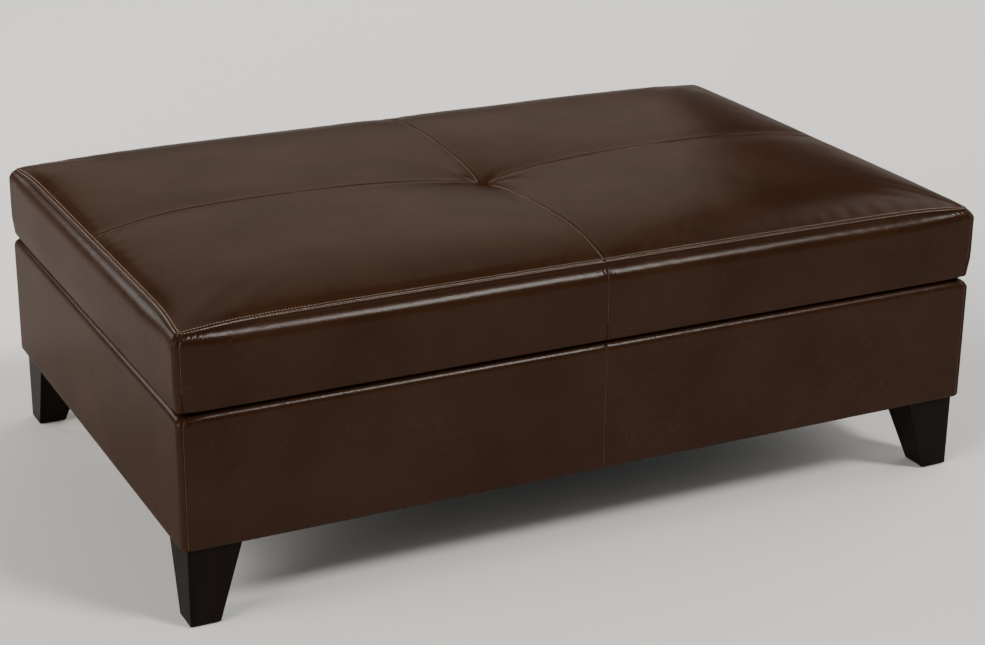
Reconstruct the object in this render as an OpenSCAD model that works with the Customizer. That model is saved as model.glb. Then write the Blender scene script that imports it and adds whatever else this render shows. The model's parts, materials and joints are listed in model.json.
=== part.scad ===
// Upholstered storage ottoman: a padded box on four legs under a hinged, padded lid.
// Millimetres, +Z up, +X along the long side, -Y to the front.
// The origin is on the floor, under the middle of the ottoman.

/* [Footprint] */
// Width of the ottoman, along its long side
body_w = 1170; // [1000:10:1300]
// Depth of the ottoman, from front to back
body_d = 750; // [680:10:850]

/* [Heights] */
// Height of the legs, from the floor to the underside of the base
leg_h = 108; // [95:1:140]
// Height of the upholstered base
base_h = 179; // [170:1:220]
// Height of the lid's side walls, from its underside to the top seam
boxing_h = 100; // [90:1:120]
// Rise of the crowned top above the top seam
crown_h = 30; // [14:1:34]
// Gap between the base and the closed lid
lid_gap = 3; // [2.8:0.1:3.6]

/* [Upholstery] */
// Thickness of the leather with its backing
leather_t = 2; // [1.8:0.1:2.2]
// Thickness of the foam wrapped around the base
padding_t = 8; // [7:1:10]
// Radius of the base's padded top edge
base_edge_r = 13; // [12:1:14]
// Radius of the lid's padded top edge, below the top seam
lid_top_r = 20; // [18:1:24]
// Radius of the lid's lower edge
lid_low_r = 9; // [9:1:11]
// Depth of the dimple at the centre tuft, below the crown
tuft_dip = 22; // [6:1:24]
// Dip of the top along its cross seams
seam_dip = 3; // [0:1:5]

/* [Joinery] */
// Thickness of the base's side panels
panel_t = 15; // [15:1:18]
// Thickness of the lid's deck
deck_t = 15; // [12:1:18]
// Thickness of the storage floor
floor_t = 9; // [6:1:12]
// Height of the corner blocks and the cleats under the storage floor
block_h = 25; // [22:1:30]

/* [Legs] */
// Width of a leg at the floor
foot_w = 40; // [34:1:46]
// Width of a leg at the top
leg_top_w = 71; // [64:1:76]
// Distance from the base's faces to the legs' outer faces
leg_inset = 9; // [6:1:14]

/* [Hinges and stays] */
// Distance from the middle of the lid to each hinge
hinge_x = 360; // [250:10:420]
// Length of a hinge
hinge_l = 75; // [60:5:90]
// Distance between the two pivots at the side of the lid, and of the arm
stay_reach = 150; // [140:1:155]

/* [Hidden] */
$fn = 64;
far = 2000;
base_top = leg_h + base_h;
lid_bottom = base_top + lid_gap;
seam_z = lid_bottom + boxing_h;
wall_t = leather_t + padding_t + panel_t;
lining_t = 1.5;
turn_down = 20;
turn_under = 34;
top_turn_t = leather_t + 0.5;
cover_inset = wall_t + leather_t;
dust_t = 1;
block_z = leg_h + dust_t;
floor_z = block_z + block_h;
floor_top = floor_z + floor_t;
block_w = 65;
cleat_w = 20;
deck_inset = 9;
deck_z = lid_bottom + leather_t;
deck_top = deck_z + deck_t;
half_top_w = body_w / 2 - lid_top_r;
half_top_d = body_d / 2 - lid_top_r;
seam_spread = 40;
tuft_spread = 60;
skin_clear = 0.3;
glide_t = 2;
glide_r = 14;
chamfer = 3;
leg_span_x = body_w / 2 - leg_inset;
leg_span_y = body_d / 2 - leg_inset;
bolt_r = 4;
bolt_low = leg_h - 38;
nut_r = 5;
nut_flange_r = 11;
nut_flange_t = 1.5;
nut_l = 12;
axis_y = body_d / 2 - 3;
axis_z = base_top + lid_gap / 2;
knuckle_r = 3;
pin_r = 1.5;
knuckles = 5;
knuckle_gap = 0.3;
leaf_gap = 0.2;
leaf_t = lid_gap / 2 - leaf_gap;
leaf_w = 26;
screw_r = 1.8;
screw_l = 18;
screw_head_r = 3.4;
hole_clear = 0.2;
hinge_screw_y = body_d / 2 - 17.5;
stay_drop = 15;
post_forward = 120;
post_drop = 95;
lid_pivot = [axis_y - stay_reach, axis_z - stay_drop];
base_pivot = [axis_y - post_forward, axis_z - post_drop];
knee = [lid_pivot[0] + base_pivot[0] - axis_y, lid_pivot[1] + base_pivot[1] - axis_z];
bar_t = 2.5;
bar_r = 8;
bracket_t = 2;
rivet_r = 3;
rivet_head_r = 6;
rivet_head_t = 1.1;
run_clear = 0.06;
face_clear = 0.1;
plate_gap = 0.8;
base_plate_l = 60;
base_plate_h = 24;
base_screw_span = 20;
lid_screw_span = 18;
knee_clear = 0.6;
wall_x = body_w / 2 - wall_t - lining_t;
plate_x = wall_x - face_clear - bracket_t;
arm_x = plate_x - plate_gap - bar_t;
link_x = arm_x - plate_gap - bar_t;
flange_x = link_x - plate_gap - bracket_t;
stay_foot_w = 24;
flange_r = 12;
bumper_r = 7;
bumper_t = lid_gap - 0.4;
tie_r = 1.5;
anchor_r = 12;
anchor_t = 2.5;

LEATHER = [0.20, 0.13, 0.10];
FOAM = [0.90, 0.84, 0.62];
BOARD = [0.70, 0.56, 0.38];
CLOTH = [0.12, 0.12, 0.12];
ESPRESSO = [0.09, 0.06, 0.05];
STEEL = [0.62, 0.63, 0.65];
PLASTIC = [0.10, 0.10, 0.10];

// ---- Wall sections: u runs inwards from the outer face, v runs upwards ----

// A block with its outer corners rounded at the top and the bottom
module edge_section(depth, height, top_r, low_r) {
    translate([0, low_r]) square([depth, height - top_r - low_r]);
    translate([top_r, height / 2]) square([depth - top_r, height / 2]);
    translate([top_r, height - top_r]) circle(r = top_r);
    if (low_r > 0) {
        translate([low_r, 0]) square([depth - low_r, height / 2]);
        translate([low_r, low_r]) circle(r = low_r);
    }
}

// The room inside the base cover, which the padding and the panels fill
module base_room_section() {
    translate([leather_t, leather_t])
        edge_section(wall_t - leather_t, base_h - leather_t - top_turn_t,
                     base_edge_r - leather_t, 0);
}

module base_cover_section() {
    difference() {
        edge_section(cover_inset, base_h, base_edge_r, 0);
        base_room_section();
        translate([wall_t, -1]) square([leather_t + 1, base_h - turn_down + 1]);
    }
}

module base_padding_section() {
    intersection() {
        base_room_section();
        square([leather_t + padding_t, base_h]);
    }
}

module base_panel_section() {
    intersection() {
        base_room_section();
        translate([leather_t + padding_t, 0]) square([panel_t, base_h]);
    }
}

module lid_boxing_section() {
    difference() {
        edge_section(turn_under, boxing_h, lid_top_r, lid_low_r);
        translate([leather_t, leather_t])
            edge_section(turn_under, boxing_h - 2 * leather_t,
                         lid_top_r - leather_t, lid_low_r - leather_t);
        translate([lid_top_r, boxing_h / 2]) square([turn_under, boxing_h]);
    }
}

// ---- Placing a section along a side: 0 front, 1 right, 2 back, 3 left ----

function side_length(side) = side % 2 == 0 ? body_w : body_d;
function side_depth(side) = side % 2 == 0 ? body_d : body_w;

// Extrudes a section along a side, ending short of both corners by cut
module along_side(side, z, cut) {
    length = side_length(side) - 2 * cut;
    rotate([0, 0, 90 * side])
        translate([-length / 2, -side_depth(side) / 2, z])
            rotate([90, 0, 90])
                linear_extrude(length) children();
}

// The part of the plan that belongs to a side, mitred at 45 degrees at both corners
module mitre(side) {
    half = side_length(side) / 2;
    reach = turn_under + 20;
    front = -side_depth(side) / 2;
    rotate([0, 0, 90 * side])
        linear_extrude(far)
            polygon([[-half, front], [half, front],
                     [half - reach, front + reach], [-half + reach, front + reach]]);
}

module mitred_side(side, z) {
    intersection() {
        along_side(side, z, 0) children();
        mitre(side);
    }
}

// Keeps the half of its children on one side of the middle: -1 left, 1 right
module half_of(sign) {
    intersection() {
        children();
        translate([sign * far / 2, 0, 0]) cube([far, far, far], center = true);
    }
}

// Repeats its children at the four corners of a rectangle, mirrored into each
module at_corners() {
    for (sx = [-1, 1])
        for (sy = [-1, 1])
            scale([sx, sy, 1]) children();
}

// Repeats its children on the left and the right, mirrored
module both_sides() {
    children();
    mirror([1, 0, 0]) children();
}

// ---- Base: frame ----

module base_long_panel(side) {
    color(BOARD)
        along_side(side, leg_h, leather_t + padding_t) base_panel_section();
}

module base_short_panel(side) {
    color(BOARD)
        along_side(side, leg_h, wall_t) base_panel_section();
}

module base_front_panel() {
    base_long_panel(0);
}

module base_back_panel() {
    base_long_panel(2);
}

module base_left_panel() {
    base_short_panel(3);
}

module base_right_panel() {
    base_short_panel(1);
}

// Centre of a leg's top, where its hanger bolt stands
bolt_x = leg_span_x - leg_top_w / 2;
bolt_y = leg_span_y - leg_top_w / 2;

module corner_block() {
    difference() {
        translate([body_w / 2 - wall_t - block_w, body_d / 2 - wall_t - block_w, block_z])
            cube([block_w, block_w, block_h]);
        translate([bolt_x, bolt_y, leg_h]) {
            cylinder(r = bolt_r + hole_clear, h = far);
            translate([0, 0, dust_t + block_h - nut_flange_t - nut_l])
                cylinder(r = nut_r + run_clear, h = far);
            translate([0, 0, dust_t + block_h - nut_flange_t - face_clear])
                cylinder(r = nut_flange_r + hole_clear, h = far);
        }
    }
}

module corner_blocks() {
    color(BOARD) at_corners() corner_block();
}

module floor_cleats() {
    inner_x = body_w / 2 - wall_t;
    inner_y = body_d / 2 - wall_t;
    color(BOARD) {
        for (sy = [-1, 1])
            translate([0, sy * (inner_y - cleat_w / 2), block_z + block_h / 2])
                cube([2 * (inner_x - block_w) - 1, cleat_w, block_h], center = true);
        for (sx = [-1, 1])
            translate([sx * (inner_x - cleat_w / 2), 0, block_z + block_h / 2])
                cube([cleat_w, 2 * (inner_y - block_w) - 1, block_h], center = true);
    }
}

module floor_bearer() {
    length = body_d - 2 * (wall_t + cleat_w) - 1;
    color(BOARD)
        translate([0, 0, block_z + block_h / 2])
            cube([2 * cleat_w, length, block_h], center = true);
}

module storage_floor() {
    color(BOARD)
        translate([0, 0, floor_z + floor_t / 2])
            cube([body_w - 2 * wall_t - 1, body_d - 2 * wall_t - 1, floor_t], center = true);
}

// ---- Base: upholstery ----

module base_padding() {
    color(FOAM)
        for (side = [0:3])
            mitred_side(side, leg_h) base_padding_section();
}

module base_cover(side) {
    color(LEATHER) mitred_side(side, leg_h) base_cover_section();
}

module base_cover_front_left() {
    half_of(-1) base_cover(0);
}

module base_cover_front_right() {
    half_of(1) base_cover(0);
}

module base_cover_left() {
    base_cover(3);
}

module base_cover_right() {
    base_cover(1);
}

module base_cover_back() {
    base_cover(2);
}

module storage_lining() {
    lining_h = base_top - turn_down - floor_top;
    inner_w = body_w - 2 * wall_t;
    inner_d = body_d - 2 * wall_t;
    color(CLOTH)
        translate([0, 0, floor_top + lining_h / 2])
            difference() {
                cube([inner_w, inner_d, lining_h], center = true);
                cube([inner_w - 2 * lining_t, inner_d - 2 * lining_t, far], center = true);
            }
}

module storage_floor_lining() {
    edge = wall_t + lining_t + 0.5;
    color(CLOTH)
        translate([0, 0, floor_top + lining_t / 2])
            cube([body_w - 2 * edge, body_d - 2 * edge, lining_t], center = true);
}

module dust_cover() {
    edge = cover_inset + 0.5;
    color(CLOTH)
        difference() {
            translate([0, 0, leg_h + dust_t / 2])
                cube([body_w - 2 * edge, body_d - 2 * edge, dust_t], center = true);
            at_corners()
                translate([bolt_x, bolt_y, 0]) cylinder(r = bolt_r + hole_clear, h = far);
        }
}

module lid_bumpers() {
    color(PLASTIC)
        at_corners()
            translate([body_w / 2 - wall_t + panel_t / 3, body_d / 2 - 3 * wall_t, base_top])
                cylinder(r = bumper_r, h = bumper_t);
}

// ---- Legs ----

// Outline of a leg seen square on: its outer edge stands straight, its inner edge slopes
module leg_outline() {
    polygon([[0, glide_t], [foot_w, glide_t], [leg_top_w, leg_h - chamfer],
             [leg_top_w - chamfer, leg_h], [chamfer, leg_h], [0, leg_h - chamfer]]);
}

// A leg tapered on its two inner faces; sx and sy say which corner it stands at
module leg(sx, sy) {
    color(ESPRESSO)
        scale([sx, sy, 1])
            difference() {
                translate([leg_span_x, leg_span_y, 0])
                    intersection() {
                        rotate([90, 0, 0]) linear_extrude(leg_top_w)
                            scale([-1, 1]) leg_outline();
                        translate([-leg_top_w, 0, 0])
                            rotate([90, 0, 90]) linear_extrude(leg_top_w)
                                scale([-1, 1]) leg_outline();
                    }
                translate([bolt_x, bolt_y, bolt_low]) cylinder(r = bolt_r, h = far);
            }
}

module leg_front_left() {
    leg(-1, -1);
}

module leg_front_right() {
    leg(1, -1);
}

module leg_back_left() {
    leg(-1, 1);
}

module leg_back_right() {
    leg(1, 1);
}

module hanger_bolts() {
    color(STEEL)
        at_corners()
            translate([bolt_x, bolt_y, bolt_low])
                cylinder(r = bolt_r, h = floor_z - bolt_low - 1);
}

module leg_t_nuts() {
    flange_z = floor_z - nut_flange_t;
    color(STEEL)
        at_corners()
            translate([bolt_x, bolt_y, 0])
                difference() {
                    union() {
                        translate([0, 0, flange_z]) cylinder(r = nut_flange_r, h = nut_flange_t);
                        translate([0, 0, flange_z - nut_l + hole_clear])
                            cylinder(r = nut_r, h = nut_l);
                    }
                    cylinder(r = bolt_r + run_clear, h = far);
                }
}

module leg_glides() {
    color(PLASTIC)
        at_corners()
            translate([leg_span_x - foot_w / 2, leg_span_y - foot_w / 2, 0])
                cylinder(r = glide_r, h = glide_t);
}

// ---- Hinges ----

segment = hinge_l / knuckles;

// The stretches of barrel that belong to a leaf: first is 0 for the base's, 1 for the lid's
module knuckle_row(first, r, grow) {
    for (i = [first:2:knuckles - 1])
        translate([hinge_x - hinge_l / 2 + i * segment + knuckle_gap / 2 - grow, axis_y, axis_z])
            rotate([0, 90, 0])
                cylinder(r = r, h = segment - knuckle_gap + 2 * grow);
}

// Screws stand at three places along a leaf
module at_leaf_screws() {
    for (i = [-1:1])
        translate([hinge_x + i * hinge_l / 3, hinge_screw_y, 0]) children();
}

// A leaf with its knuckles: up is 1 for the lid's leaf and -1 for the base's
module hinge_leaf(first, up) {
    difference() {
        union() {
            difference() {
                translate([hinge_x - hinge_l / 2, axis_y - leaf_w,
                           up > 0 ? axis_z + leaf_gap : axis_z - leaf_gap - leaf_t])
                    cube([hinge_l, leaf_w, leaf_t]);
                knuckle_row(1 - first, knuckle_r + 2 * hole_clear, knuckle_gap);
            }
            knuckle_row(first, knuckle_r, 0);
        }
        translate([hinge_x - hinge_l, axis_y, axis_z])
            rotate([0, 90, 0]) cylinder(r = pin_r + run_clear, h = 2 * hinge_l);
        at_leaf_screws()
            translate([0, 0, axis_z - leaf_w / 2])
                cylinder(r = screw_head_r + hole_clear, h = leaf_w);
    }
}

module hinge_base_leaves() {
    color(STEEL) both_sides() hinge_leaf(0, -1);
}

module hinge_lid_leaves() {
    color(STEEL) both_sides() hinge_leaf(1, 1);
}

module hinge_pins() {
    color(STEEL)
        both_sides()
            translate([hinge_x - hinge_l / 2, axis_y, axis_z])
                rotate([0, 90, 0]) cylinder(r = pin_r, h = hinge_l);
}

// A countersunk screw driven upwards from z = 0, its flat head flush there
module screw(head_t) {
    cylinder(r = screw_head_r, h = head_t);
    cylinder(r = screw_r, h = screw_l);
}

module hinge_base_screws() {
    color(STEEL)
        both_sides()
            at_leaf_screws()
                translate([0, 0, axis_z - leaf_gap]) mirror([0, 0, 1]) screw(leaf_t);
}

module hinge_lid_screws() {
    color(STEEL)
        both_sides()
            at_leaf_screws()
                translate([0, 0, axis_z + leaf_gap]) screw(leaf_t);
}

// ---- Stays: points are [y, z], and every plate lies across X on the right-hand side ----

// A disc across X, from x inwards to outwards by t
module disc(point, x, r, t) {
    translate([x, point[0], point[1]]) rotate([0, 90, 0]) cylinder(r = r, h = t);
}

// A flat bar across X with round ends, from point a to point b
module bar(a, b, x) {
    run = b - a;
    translate([x, a[0], a[1]])
        rotate([atan2(run[1], run[0]), 0, 0])
            rotate([90, 0, 90])
                linear_extrude(bar_t) {
                    circle(r = bar_r);
                    translate([norm(run), 0]) circle(r = bar_r);
                    translate([0, -bar_r]) square([norm(run), 2 * bar_r]);
                }
}

// A rivet across X with a head at each end of its shank
module rivet(point, low_x, high_x) {
    disc(point, low_x - rivet_head_t, rivet_r, high_x - low_x + 2 * rivet_head_t);
    disc(point, low_x - rivet_head_t, rivet_head_r, rivet_head_t - face_clear);
    disc(point, high_x + face_clear, rivet_head_r, rivet_head_t - face_clear);
}

base_screw_points = [base_pivot - [base_screw_span, 0], base_pivot + [base_screw_span, 0]];
lid_screw_x = flange_x - stay_foot_w / 2;
lid_screw_ys = [lid_pivot[0] - lid_screw_span, lid_pivot[0] + lid_screw_span];
lining_z = deck_z - lining_t;

module stay_base_bracket() {
    difference() {
        translate([plate_x, base_pivot[0] - base_plate_l / 2, base_pivot[1] - base_plate_h / 2])
            cube([bracket_t, base_plate_l, base_plate_h]);
        disc(base_pivot, plate_x - 1, rivet_r + run_clear, 2 * bracket_t);
        for (point = base_screw_points)
            disc(point, plate_x - 1, screw_head_r + hole_clear, 2 * bracket_t);
    }
}

module stay_base_brackets() {
    color(STEEL) both_sides() stay_base_bracket();
}

module stay_base_screws() {
    color(STEEL)
        both_sides()
            for (point = base_screw_points) {
                disc(point, plate_x, screw_head_r, bracket_t);
                disc(point, plate_x, screw_r, panel_t - 1);
            }
}

// The shank ends flush in the bracket, and the one head is thin, to clear the link
module stay_base_rivets() {
    head_t = rivet_head_t / 2;
    color(STEEL)
        both_sides() {
            disc(base_pivot, arm_x - face_clear, rivet_r,
                 plate_x + bracket_t - arm_x + face_clear);
            disc(base_pivot, arm_x - face_clear - head_t, rivet_head_r, head_t);
        }
}

module stay_arm() {
    color(STEEL)
        difference() {
            bar(base_pivot, knee, arm_x);
            disc(base_pivot, arm_x - 1, rivet_r + run_clear, 2 * bar_t);
            disc(knee, arm_x - 1, rivet_r, 2 * bar_t);
        }
}

module right_stay_arm() {
    stay_arm();
}

module left_stay_arm() {
    mirror([1, 0, 0]) stay_arm();
}

module knee_rivet() {
    color(STEEL) rivet(knee, link_x - face_clear, arm_x + bar_t + face_clear);
}

module right_knee_rivet() {
    knee_rivet();
}

module left_knee_rivet() {
    mirror([1, 0, 0]) knee_rivet();
}

module stay_link() {
    color(STEEL)
        difference() {
            bar(lid_pivot, knee, link_x);
            disc(lid_pivot, link_x - 1, rivet_r + run_clear, 2 * bar_t);
            disc(knee, link_x - 1, rivet_r + knee_clear, 2 * bar_t);
        }
}

module right_stay_link() {
    stay_link();
}

module left_stay_link() {
    mirror([1, 0, 0]) stay_link();
}

// An angle bracket: its foot lies on the lid's lining and its flange hangs down to the pivot
module stay_lid_bracket() {
    difference() {
        union() {
            translate([flange_x, lid_pivot[0] - flange_r, lid_pivot[1]])
                cube([bracket_t, 2 * flange_r, lining_z - lid_pivot[1]]);
            disc(lid_pivot, flange_x, flange_r, bracket_t);
            translate([flange_x - stay_foot_w, lid_pivot[0] - base_plate_l / 2,
                       lining_z - bracket_t])
                cube([stay_foot_w + bracket_t, base_plate_l, bracket_t]);
        }
        disc(lid_pivot, flange_x - 1, rivet_r, 2 * bracket_t);
        for (y = lid_screw_ys)
            translate([lid_screw_x, y, lining_z - 2 * bracket_t])
                cylinder(r = screw_head_r + hole_clear, h = 4 * bracket_t);
    }
}

module stay_lid_brackets() {
    color(STEEL) both_sides() stay_lid_bracket();
}

module stay_lid_screws() {
    color(STEEL)
        both_sides()
            for (y = lid_screw_ys)
                translate([lid_screw_x, y, lining_z - bracket_t]) {
                    cylinder(r = screw_head_r, h = bracket_t);
                    cylinder(r = screw_r, h = deck_t - 2);
                }
}

module stay_lid_rivets() {
    color(STEEL)
        both_sides() rivet(lid_pivot, flange_x - face_clear, link_x + bar_t + face_clear);
}

// ---- Lid ----

// How far the crown has risen: 0 at the edge of the top, 1 in the middle
function swell(s) = sqrt(max(0, 1 - pow(s, 6)));

// Height of the leather top at a point
function top_z(x, y) =
    let (rise = swell(x / half_top_w) * swell(y / half_top_d),
         seams = max(exp(-pow(x / seam_spread, 2)), exp(-pow(y / seam_spread, 2))),
         tuft = exp(-norm([x, y]) / tuft_spread))
    seam_z + rise * (crown_h - seam_dip * seams - tuft_dip * tuft);

// Grid lines across the top: closer together at the edges, where it curves most
line_steps = [0, 0.12, 0.26, 0.42, 0.58, 0.74, 0.88, 0.96, 1];
x_lines = [for (s = line_steps) s * half_top_w];
y_lines = [for (s = line_steps) s * half_top_d];

// The lines on one side of the middle, in rising order; the first stands clear of the seam
function quarter_lines(lines, sign) =
    let (from_middle = [for (v = lines) sign * max(v, face_clear)])
    sign > 0 ? from_middle : [for (i = [len(lines) - 1:-1:0]) from_middle[i]];

function mirrored(lines) = concat([for (i = [len(lines) - 1:-1:1]) -lines[i]], lines);

// A closed sheet between two heights over a grid: upper and lower are lists of heights,
// one row for each x
module grid_solid(xs, ys, upper, lower) {
    nx = len(xs);
    ny = len(ys);
    count = nx * ny;
    top_points = [for (i = [0:nx - 1]) for (j = [0:ny - 1]) [xs[i], ys[j], upper[i][j]]];
    low_points = [for (i = [0:nx - 1]) for (j = [0:ny - 1]) [xs[i], ys[j], lower[i][j]]];
    top_faces = [for (i = [0:nx - 2]) for (j = [0:ny - 2])
        let (a = i * ny + j) each [[a, a + 1, a + ny + 1], [a, a + ny + 1, a + ny]]];
    rim = concat([for (i = [0:nx - 1]) i * ny],
                 [for (j = [1:ny - 1]) (nx - 1) * ny + j],
                 [for (i = [nx - 2:-1:0]) i * ny + ny - 1],
                 [for (j = [ny - 2:-1:1]) j]);
    low_faces = [for (f = top_faces) [f[2] + count, f[1] + count, f[0] + count]];
    rim_faces = [for (k = [0:len(rim) - 1])
        let (a = rim[k], b = rim[(k + 1) % len(rim)])
        each [[a, b, b + count], [a, b + count, a + count]]];
    polyhedron(points = concat(top_points, low_points),
               faces = concat(top_faces, low_faces, rim_faces), convexity = 4);
}

// A quarter of the leather top; its two inner edges meet the others along the cross seams
module lid_top(sx, sy) {
    xs = quarter_lines(x_lines, sx);
    ys = quarter_lines(y_lines, sy);
    upper = [for (x = xs) [for (y = ys) top_z(x, y)]];
    lower = [for (row = upper) [for (z = row) z - leather_t]];
    color(LEATHER) grid_solid(xs, ys, upper, lower);
}

module lid_top_front_left() {
    lid_top(-1, -1);
}

module lid_top_front_right() {
    lid_top(1, -1);
}

module lid_top_back_left() {
    lid_top(-1, 1);
}

module lid_top_back_right() {
    lid_top(1, 1);
}

// Foam block on the deck, rounded under the boxing and crowned under the top
foam_inset = leather_t + skin_clear;
foam_r = lid_top_r - foam_inset;
arc_steps = [0, 30, 60];
function edge_drop(u) = u >= foam_r ? 0 : foam_r - sqrt(max(0, pow(foam_r, 2) - pow(foam_r - u, 2)));
function outer_lines(half) = [for (a = arc_steps) half - foam_inset - foam_r * (1 - cos(a))];
function with_edges(lines, half) =
    concat(lines, [for (i = [len(arc_steps) - 1:-1:0]) outer_lines(half)[i]]);
function foam_z(x, y) =
    let (ux = body_w / 2 - foam_inset - abs(x), uy = body_d / 2 - foam_inset - abs(y))
    top_z(min(abs(x), half_top_w), min(abs(y), half_top_d)) - foam_inset
        - edge_drop(ux) - edge_drop(uy);

module lid_foam() {
    xs = mirrored(with_edges(x_lines, body_w / 2));
    ys = mirrored(with_edges(y_lines, body_d / 2));
    color(FOAM)
        grid_solid(xs, ys, [for (x = xs) [for (y = ys) foam_z(x, y)]],
                   [for (x = xs) [for (y = ys) deck_top]]);
}

module lid_deck() {
    color(BOARD)
        difference() {
            translate([0, 0, deck_z + deck_t / 2])
                cube([body_w - 2 * deck_inset, body_d - 2 * deck_inset, deck_t], center = true);
            cylinder(r = 2 * tie_r, h = far);
            cylinder(r = anchor_r + skin_clear, h = deck_z + anchor_t + face_clear);
        }
}

module lid_boxing(side) {
    color(LEATHER) mitred_side(side, lid_bottom) lid_boxing_section();
}

module lid_boxing_front_left() {
    half_of(-1) lid_boxing(0);
}

module lid_boxing_front_right() {
    half_of(1) lid_boxing(0);
}

module lid_boxing_left() {
    lid_boxing(3);
}

module lid_boxing_right() {
    lid_boxing(1);
}

module lid_boxing_back() {
    lid_boxing(2);
}

module lid_lining() {
    edge = turn_under + 0.5;
    color(CLOTH)
        translate([0, 0, lining_z + lining_t / 2])
            cube([body_w - 2 * edge, body_d - 2 * edge, lining_t], center = true);
}

module tuft_tie() {
    low = deck_z + anchor_t;
    color(CLOTH)
        translate([0, 0, low]) cylinder(r = tie_r, h = foam_z(0, 0) - low - 1);
}

module tuft_anchor() {
    color(PLASTIC)
        translate([0, 0, deck_z + face_clear]) cylinder(r = anchor_r, h = anchor_t - face_clear);
}

base_front_panel();
base_back_panel();
base_left_panel();
base_right_panel();
corner_blocks();
floor_cleats();
floor_bearer();
storage_floor();
base_padding();
base_cover_front_left();
base_cover_front_right();
base_cover_left();
base_cover_right();
base_cover_back();
storage_lining();
storage_floor_lining();
dust_cover();
leg_front_left();
leg_front_right();
leg_back_left();
leg_back_right();
hanger_bolts();
leg_t_nuts();
leg_glides();
hinge_base_leaves();
hinge_pins();
hinge_base_screws();
lid_bumpers();
stay_base_brackets();
stay_base_rivets();
stay_base_screws();
lid_deck();
lid_foam();
lid_top_front_left();
lid_top_front_right();
lid_top_back_left();
lid_top_back_right();
lid_boxing_front_left();
lid_boxing_front_right();
lid_boxing_left();
lid_boxing_right();
lid_boxing_back();
lid_lining();
tuft_tie();
tuft_anchor();
hinge_lid_leaves();
hinge_lid_screws();
stay_lid_brackets();
stay_lid_rivets();
stay_lid_screws();
left_stay_arm();
right_stay_arm();
left_knee_rivet();
right_knee_rivet();
left_stay_link();
right_stay_link();
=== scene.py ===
"""A long storage ottoman in dark brown leather, with a tufted lid on hinges and folding stays.

The leather, foam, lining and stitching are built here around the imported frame. The legs,
the boards and the hardware are the frame's own nodes, given their finishes.
Units are metres, +X along the long side, -Y to the front, +Z up.
"""

import json
import math

import bpy
import numpy as np
from mathutils import Matrix, Vector, noise


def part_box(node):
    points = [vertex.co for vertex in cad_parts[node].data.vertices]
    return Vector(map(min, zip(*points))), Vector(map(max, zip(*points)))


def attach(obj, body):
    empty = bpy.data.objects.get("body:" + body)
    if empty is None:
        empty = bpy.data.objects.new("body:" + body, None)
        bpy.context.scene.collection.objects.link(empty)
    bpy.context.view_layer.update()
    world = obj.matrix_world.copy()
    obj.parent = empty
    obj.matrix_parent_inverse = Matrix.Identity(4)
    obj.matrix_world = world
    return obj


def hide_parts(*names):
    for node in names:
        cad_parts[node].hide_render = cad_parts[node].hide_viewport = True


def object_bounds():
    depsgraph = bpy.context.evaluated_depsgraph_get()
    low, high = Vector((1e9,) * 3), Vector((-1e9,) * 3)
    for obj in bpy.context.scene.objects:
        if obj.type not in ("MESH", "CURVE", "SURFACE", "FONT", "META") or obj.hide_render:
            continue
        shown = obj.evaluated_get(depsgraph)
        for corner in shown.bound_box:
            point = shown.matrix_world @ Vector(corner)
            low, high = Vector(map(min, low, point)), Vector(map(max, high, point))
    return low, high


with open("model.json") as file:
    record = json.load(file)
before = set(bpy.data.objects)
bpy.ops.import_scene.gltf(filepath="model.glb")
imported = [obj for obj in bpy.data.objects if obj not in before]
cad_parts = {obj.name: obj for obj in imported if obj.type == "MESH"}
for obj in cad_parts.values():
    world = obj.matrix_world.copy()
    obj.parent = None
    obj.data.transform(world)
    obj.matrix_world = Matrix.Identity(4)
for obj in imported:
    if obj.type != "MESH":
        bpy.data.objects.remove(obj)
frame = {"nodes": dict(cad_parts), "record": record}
CAD_LOW, CAD_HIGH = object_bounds()

MM = 0.001
TINY = 1e-12

# ---- Places, all taken from the frame ----

HALF_W = CAD_HIGH.x
HALF_D = CAD_HIGH.y
BASE_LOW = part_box("base_cover_back")[0].z
BASE_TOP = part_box("base_cover_back")[1].z
LID_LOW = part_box("lid_boxing_back")[0].z
SEAM_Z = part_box("lid_boxing_back")[1].z
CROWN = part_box("lid_top_front_left")[1].z - SEAM_Z
DECK_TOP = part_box("lid_deck")[1].z
LINING_INSET = HALF_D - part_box("lid_lining")[1].y
WALL = HALF_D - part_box("base_back_panel")[0].y

# ---- Sizes of the upholstery ----

LEATHER = 1.4 * MM
CORNER_R = 8 * MM

# The lid's top: where its seam runs, inside the sides and at the corners, and how full it is.
TOP_INSET = 12 * MM
CORNER_INSET = 7 * MM
CORNER_REACH = 50 * MM
CORNER_DROP = 0.8 * MM
DROP_REACH = 55 * MM
FULLNESS = 1.5 * MM
TOP_W = HALF_W - TOP_INSET
TOP_D = HALF_D - TOP_INSET
PLATEAU = CROWN + FULLNESS
TUFT_R = 9 * MM
SETTLE_CAP = 3.5 * MM

# The boxing and the base's cover.
BASE_EDGE_R = 13 * MM
BASE_FOOT_R = 5 * MM
LID_FOOT_R = 3 * MM
BACK_FOOT_R = 9 * MM
FOOT_INSET = 2.0 * MM
SHOULDER = 22 * MM
SEAM_TURN = math.radians(48)
SLACK_SIZE = 160 * MM

# The seams, and the gathers beside them.
SEAM_DEPTH = 1.4 * MM
SEAM_WIDTH = 1.2 * MM
RIDGE = 6.2 * MM
RIDGE_RISE = 0.9 * MM
ROWS = (1.5 * MM, 4.7 * MM)
ROW_WIDTH = 0.6 * MM
GATHER_STEP = 1.6 * MM
GATHERED = 48 * MM

# Stitches and staples: their radius, their length and the gap between them.
STITCHES = (0.42 * MM, 3.2 * MM, 1.0 * MM)
STAPLES = (0.5 * MM, 10 * MM, 45 * MM)
STAPLE_INSET = 7 * MM

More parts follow.
